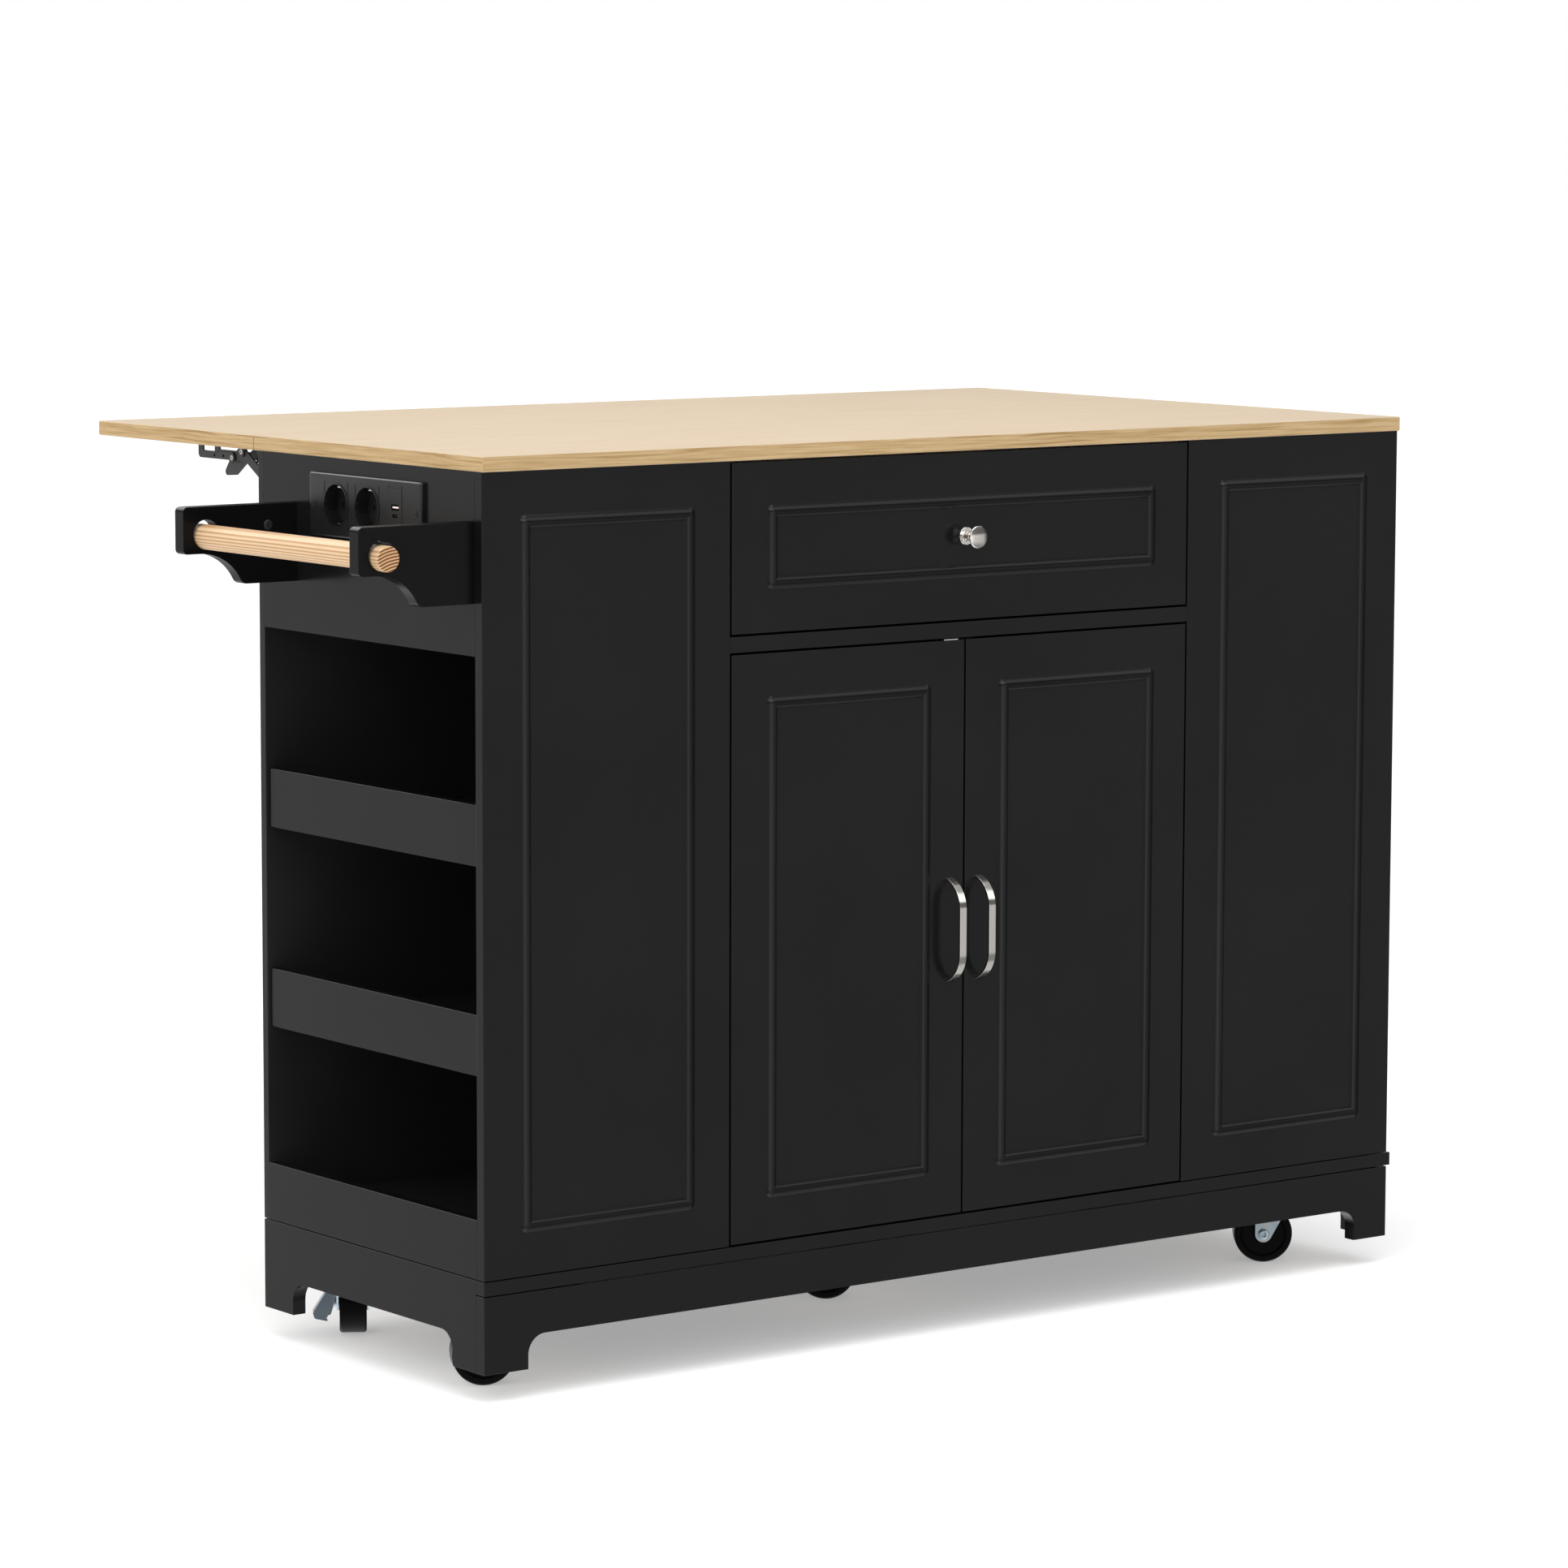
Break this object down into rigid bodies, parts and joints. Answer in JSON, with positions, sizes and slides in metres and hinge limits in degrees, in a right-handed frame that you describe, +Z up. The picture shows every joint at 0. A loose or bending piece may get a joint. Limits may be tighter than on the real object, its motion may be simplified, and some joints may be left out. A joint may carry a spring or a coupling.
{
  "type": "kitchen island",
  "caption": "Kitchen island on casters with a fixed worktop and drop leaf, drawer, door cupboard, open end racks, towel rail and power strip.",
  "frame": {"origin": "on the floor, at the middle of the overall footprint with the leaf up", "axes": "+X to the right along the length, seen from the front; +Y from the doors towards the drop leaf; +Z up"},
  "size_m": [1.322, 0.744, 0.924],
  "materials": {
    "worktop": "light oak laminate with fine grain, satin",
    "black_lacquer": "matt black lacquer on board",
    "raw_board": "plain particle board",
    "drawer_box": "matt black laminate",
    "dowel_wood": "sanded pale dowel",
    "outlet_plastic": "black moulded plastic",
    "contact_metal": "bright spring steel",
    "brushed_nickel": "brushed nickel",
    "nickel_plated": "nickel plated",
    "catch_plastic": "black plastic",
    "zinc_steel": "bright zinc plated sheet steel",
    "black_steel": "black powder coat with bright rivets",
    "wheel_black": "black nylon with a moulded rim"
  },
  "bodies": {
    "cabinet": {"back_panel": "black_lacquer", "back_plinth": "black_lacquer", "base_board": "black_lacquer", "caster_plates": "zinc_steel", "cupboard_floor": "black_lacquer", "cupboard_shelf": "black_lacquer", "drawer_divider": "black_lacquer", "drawer_slide_channels": "zinc_steel", "fixed_top": "worktop", "front_plinth": "black_lacquer", "hinge_arms": "nickel_plated", "leaf_wall_arms": "black_steel", "left_end_panel": "black_lacquer", "left_front_panel": "black_lacquer", "left_partition": "black_lacquer", "left_rack_rails": "black_lacquer", "left_rack_shelves": "black_lacquer", "magnetic_catch": "catch_plastic", "outlet_contacts": "contact_metal", "outlet_inserts": "outlet_plastic", "outlet_strip": "outlet_plastic", "plinth_corner_blocks": "raw_board", "right_end_panel": "black_lacquer", "right_front_panel": "black_lacquer", "right_partition": "black_lacquer", "right_rack_rails": "black_lacquer", "right_rack_shelves": "black_lacquer", "shelf_pins": "nickel_plated", "side_plinths": "black_lacquer", "top_rails": "raw_board", "towel_brackets": "black_lacquer"},
    "towel_rod": {"towel_rod": "dowel_wood"},
    "drawer": {"drawer_front": "black_lacquer", "drawer_sides": "drawer_box", "drawer_bottom": "drawer_box", "drawer_knob": "brushed_nickel", "drawer_slide_inners": "zinc_steel"},
    "slide_middles": {"drawer_slide_middles": "zinc_steel"},
    "left_door": {"left_door": "black_lacquer", "left_door_pull": "brushed_nickel", "left_door_fittings": "nickel_plated"},
    "right_door": {"right_door": "black_lacquer", "right_door_pull": "brushed_nickel", "right_door_fittings": "nickel_plated"},
    "drop_leaf": {"drop_leaf": "worktop", "leaf_arms": "black_steel"},
    "leaf_struts": {"leaf_struts": "black_steel"},
    "left_leaf_lever": {"left_leaf_lever": "black_steel"},
    "right_leaf_lever": {"right_leaf_lever": "black_steel"},
    "brake_pedal": {"brake_pedal": "zinc_steel"},
    "front_left_fork": {"front_left_caster_fork": "zinc_steel"},
    "front_left_wheel": {"front_left_caster_wheel": "wheel_black"},
    "front_right_fork": {"front_right_caster_fork": "zinc_steel"},
    "front_right_wheel": {"front_right_caster_wheel": "wheel_black"},
    "back_left_fork": {"back_left_caster_fork": "zinc_steel"},
    "back_left_wheel": {"back_left_caster_wheel": "wheel_black"},
    "back_right_fork": {"back_right_caster_fork": "zinc_steel"},
    "back_right_wheel": {"back_right_caster_wheel": "wheel_black"},
    "middle_fork": {"middle_caster_fork": "zinc_steel"},
    "middle_wheel": {"middle_caster_wheel": "wheel_black"}
  },
  "joints": [
    {"name": "towel_rod_spin", "type": "hinge", "parent": "cabinet", "child": "towel_rod", "pos_m": [-0.6346, -0.16825, 0.8308], "axis": [0, 1, 0], "continuous": true},
    {"name": "drawer_slide", "type": "slide", "parent": "cabinet", "child": "drawer", "axis": [0, -1, 0], "range_m": [0, 0.33]},
    {"name": "drawer_slide_middle", "type": "slide", "parent": "cabinet", "child": "slide_middles", "axis": [0, -1, 0], "range_m": [0, 0.165]},
    {"name": "left_door_swing", "type": "hinge", "parent": "cabinet", "child": "left_door", "pos_m": [-0.2329, -0.348, 0.41975], "axis": [0, 0, -1], "range_deg": [0, 105]},
    {"name": "right_door_swing", "type": "hinge", "parent": "cabinet", "child": "right_door", "pos_m": [0.3599, -0.348, 0.41975], "axis": [0, 0, 1], "range_deg": [0, 105]},
    {"name": "leaf_fold", "type": "hinge", "parent": "cabinet", "child": "drop_leaf", "pos_m": [0.0635, 0.074, 0.889], "axis": [-1, 0, 0], "range_deg": [0, 90]},
    {"name": "leaf_strut_fold", "type": "hinge", "parent": "cabinet", "child": "leaf_struts", "pos_m": [0.0635, 0.074, 0.8624], "axis": [-1, 0, 0], "range_deg": [0, 110.94]},
    {"name": "left_lever_pull", "type": "hinge", "parent": "drop_leaf", "child": "left_leaf_lever", "pos_m": [-0.481, 0.166, 0.8945], "axis": [1, 0, 0], "range_deg": [0, 25], "stiffness_Nm_per_rad": 0.02, "springref_deg": -20.05},
    {"name": "right_lever_pull", "type": "hinge", "parent": "drop_leaf", "child": "right_leaf_lever", "pos_m": [0.608, 0.166, 0.8945], "axis": [1, 0, 0], "range_deg": [0, 25], "stiffness_Nm_per_rad": 0.02, "springref_deg": -20.05},
    {"name": "front_left_swivel", "type": "hinge", "parent": "cabinet", "child": "front_left_fork", "pos_m": [-0.459, -0.272, 0.0755], "axis": [0, 0, 1], "continuous": true},
    {"name": "front_left_wheel_spin", "type": "hinge", "parent": "front_left_fork", "child": "front_left_wheel", "pos_m": [-0.47511, -0.26397, 0.03175], "axis": [-0.4462, -0.8949, 0], "continuous": true},
    {"name": "front_right_swivel", "type": "hinge", "parent": "cabinet", "child": "front_right_fork", "pos_m": [0.568, -0.272, 0.0755], "axis": [0, 0, 1], "continuous": true},
    {"name": "front_right_wheel_spin", "type": "hinge", "parent": "front_right_fork", "child": "front_right_wheel", "pos_m": [0.55354, -0.26128, 0.03175], "axis": [-0.5953, -0.8035, 0], "continuous": true},
    {"name": "back_left_swivel", "type": "hinge", "parent": "cabinet", "child": "back_left_fork", "pos_m": [-0.459, -0.002, 0.0755], "axis": [0, 0, 1], "continuous": true},
    {"name": "back_left_wheel_spin", "type": "hinge", "parent": "back_left_fork", "child": "back_left_wheel", "pos_m": [-0.44935, 0.0132, 0.03175], "axis": [-0.8441, 0.5361, 0], "continuous": true},
    {"name": "brake_pedal_press", "type": "hinge", "parent": "back_left_fork", "child": "brake_pedal", "pos_m": [-0.47673, 0.00926, 0.04405], "axis": [-0.5361, -0.8441, 0], "range_deg": [0, 12]},
    {"name": "back_right_swivel", "type": "hinge", "parent": "cabinet", "child": "back_right_fork", "pos_m": [0.568, -0.002, 0.0755], "axis": [0, 0, 1], "continuous": true},
    {"name": "back_right_wheel_spin", "type": "hinge", "parent": "back_right_fork", "child": "back_right_wheel", "pos_m": [0.55354, 0.00872, 0.03175], "axis": [-0.5953, -0.8035, 0], "continuous": true},
    {"name": "middle_swivel", "type": "hinge", "parent": "cabinet", "child": "middle_fork", "pos_m": [0.0635, -0.146, 0.0755], "axis": [0, 0, 1], "continuous": true},
    {"name": "middle_wheel_spin", "type": "hinge", "parent": "middle_fork", "child": "middle_wheel", "pos_m": [0.04904, -0.13528, 0.03175], "axis": [-0.5953, -0.8035, 0], "continuous": true}
  ],
  "couplings": [
    {"joint": "drawer_slide_middle", "follows": "drawer_slide", "ratio": 0.5},
    {"joint": "leaf_strut_fold", "follows": "leaf_fold", "ratio": 1.2322}
  ]
}
